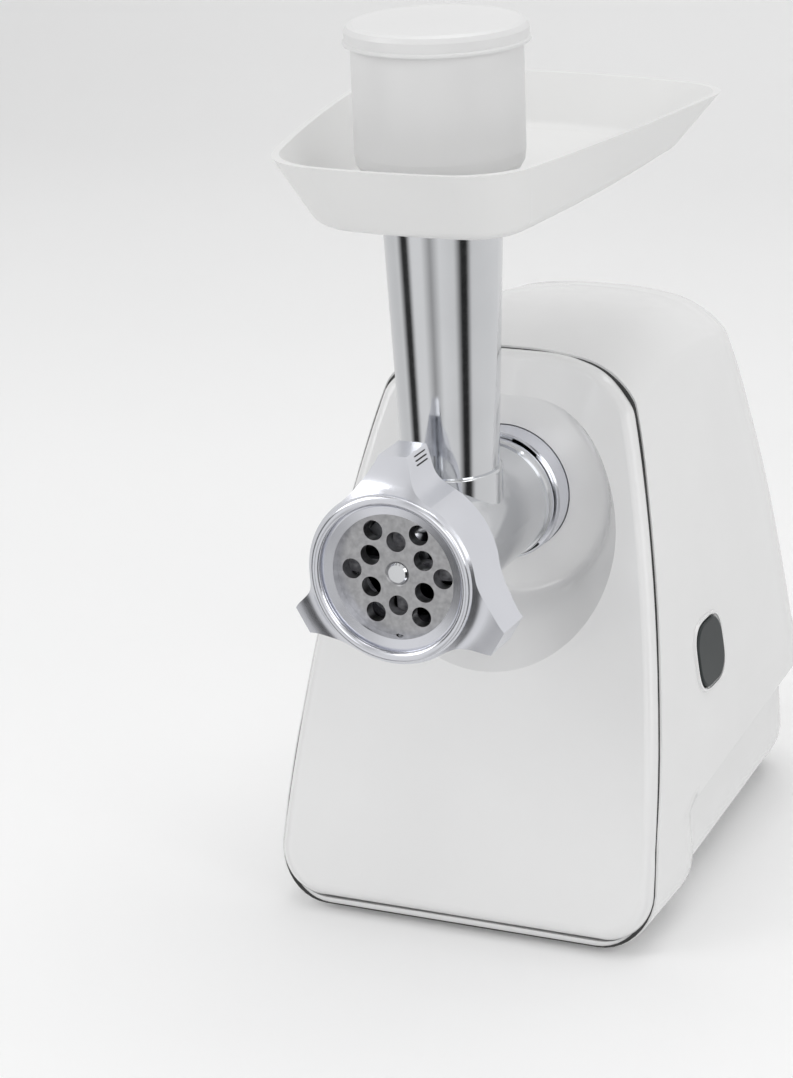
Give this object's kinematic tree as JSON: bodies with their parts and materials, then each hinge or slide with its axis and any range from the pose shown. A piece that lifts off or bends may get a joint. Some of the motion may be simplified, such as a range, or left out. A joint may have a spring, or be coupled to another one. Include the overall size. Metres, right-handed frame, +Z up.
{
  "type": "electric meat grinder",
  "caption": "Upright electric meat grinder: white body with motor and gear train, aluminium grinding head with disc and screw ring, feed tube, tray and pusher.",
  "frame": {"origin": "middle of the footprint, on the surface that the rubber feet stand on", "axes": "+Z up, -Y towards the grinding disc, +X to the side of the power button"},
  "size_m": [0.1652, 0.2782, 0.3703],
  "materials": {
    "white_plastic": "glossy moulded white",
    "tray_plastic": "satin moulded white",
    "pusher_plastic": "satin moulded white",
    "button_grey": "satin slate grey",
    "cast_aluminium": "polished cast aluminium",
    "ring_aluminium": "satin polished aluminium",
    "ground_steel": "ground steel",
    "tool_steel": "stamped and ground steel",
    "rubber": "moulded rubber",
    "black_plastic": "moulded black nylon",
    "nylon_gear": "natural acetal",
    "zinc_screw": "zinc plated",
    "shaft_steel": "ground bright steel",
    "lamination_steel": "stacked laminations",
    "copper_wire": "enamelled copper",
    "commutator_copper": "turned copper bars",
    "carbon": "pressed carbon",
    "brass": "pressed brass",
    "bronze": "sintered bronze",
    "circuit_board": "green laminate",
    "fibre": "hard fibre"
  },
  "bodies": {
    "body": {"socket_ring": "ring_aluminium", "front_panel": "white_plastic", "housing_shell": "white_plastic", "base_plate": "white_plastic", "base_screws": "zinc_screw", "rubber_feet": "rubber", "cord_gland": "rubber", "button_spring": "shaft_steel", "switch_module": "black_plastic", "control_board": "circuit_board", "gearbox_case": "black_plastic", "gearbox_cover": "black_plastic", "gearbox_screws": "zinc_screw", "output_bushes": "bronze", "idler_axles": "shaft_steel", "stator_core": "lamination_steel", "field_coils": "copper_wire", "carbon_brushes": "carbon", "brush_holders": "brass", "motor_bearings": "bronze", "motor_front_bracket": "cast_aluminium", "motor_rear_bracket": "cast_aluminium"},
    "head": {"grinder_barrel": "cast_aluminium", "thrust_washer": "fibre"},
    "disc": {"perforated_disc": "ground_steel"},
    "ring": {"screw_ring": "ring_aluminium"},
    "tray": {"meat_tray": "tray_plastic"},
    "pusher": {"pusher_body": "pusher_plastic"},
    "lid": {"pusher_lid": "pusher_plastic"},
    "button": {"power_button": "button_grey"},
    "output_drive": {"output_gear": "nylon_gear", "output_shaft": "shaft_steel", "output_coupling": "shaft_steel", "feed_screw": "cast_aluminium", "feed_screw_driver": "black_plastic", "driver_screw": "zinc_screw", "cross_knife": "tool_steel"},
    "second_idler": {"second_idler_gear": "nylon_gear"},
    "first_idler": {"first_idler_gear": "nylon_gear"},
    "rotor": {"motor_pinion": "shaft_steel", "motor_shaft": "shaft_steel", "cooling_fan": "black_plastic", "rotor_core": "lamination_steel", "rotor_windings": "copper_wire", "commutator": "commutator_copper"}
  },
  "joints": [
    {"name": "screw_turns", "type": "hinge", "parent": "body", "child": "output_drive", "pos_m": [0, 0.0019, 0.17], "axis": [0, 1, 0], "continuous": true},
    {"name": "second_idler_turns", "type": "hinge", "parent": "body", "child": "second_idler", "pos_m": [0, 0.0079, 0.128], "axis": [0, 1, 0], "continuous": true},
    {"name": "first_idler_turns", "type": "hinge", "parent": "body", "child": "first_idler", "pos_m": [-0.014, 0.0189, 0.0945], "axis": [0, 1, 0], "continuous": true},
    {"name": "motor_turns", "type": "hinge", "parent": "body", "child": "rotor", "pos_m": [0, 0.0679, 0.0653], "axis": [0, 1, 0], "continuous": true},
    {"name": "head_lock", "type": "hinge", "parent": "body", "child": "head", "pos_m": [0, -0.0211, 0.17], "axis": [0, 1, 0], "range_deg": [0, 45]},
    {"name": "disc_slide", "type": "slide", "parent": "head", "child": "disc", "axis": [0, -1, 0], "range_m": [0, 0.008]},
    {"name": "ring_turn", "type": "hinge", "parent": "disc", "child": "ring", "pos_m": [0, -0.1311, 0.17], "axis": [0, -1, 0], "range_deg": [0, 720]},
    {"name": "tray_lift", "type": "slide", "parent": "head", "child": "tray", "axis": [0, 0, 1], "range_m": [0, 0.03]},
    {"name": "pusher_slide", "type": "slide", "parent": "tray", "child": "pusher", "axis": [0, 0, 1], "range_m": [0, 0.09]},
    {"name": "lid_lift", "type": "slide", "parent": "pusher", "child": "lid", "axis": [0, 0, 1], "range_m": [0, 0.02]},
    {"name": "button_press", "type": "slide", "parent": "body", "child": "button", "axis": [-0.9919, 0, -0.1271], "range_m": [0, 0.0018], "stiffness_N_per_m": 900, "springref_m": -0.0008, "deforming": ["button_spring"]}
  ],
  "couplings": [
    {"joint": "second_idler_turns", "follows": "screw_turns", "ratio": -4},
    {"joint": "first_idler_turns", "follows": "screw_turns", "ratio": 18},
    {"joint": "motor_turns", "follows": "screw_turns", "ratio": -90},
    {"joint": "disc_slide", "follows": "ring_turn", "m_per_rad": 0.00063662}
  ]
}
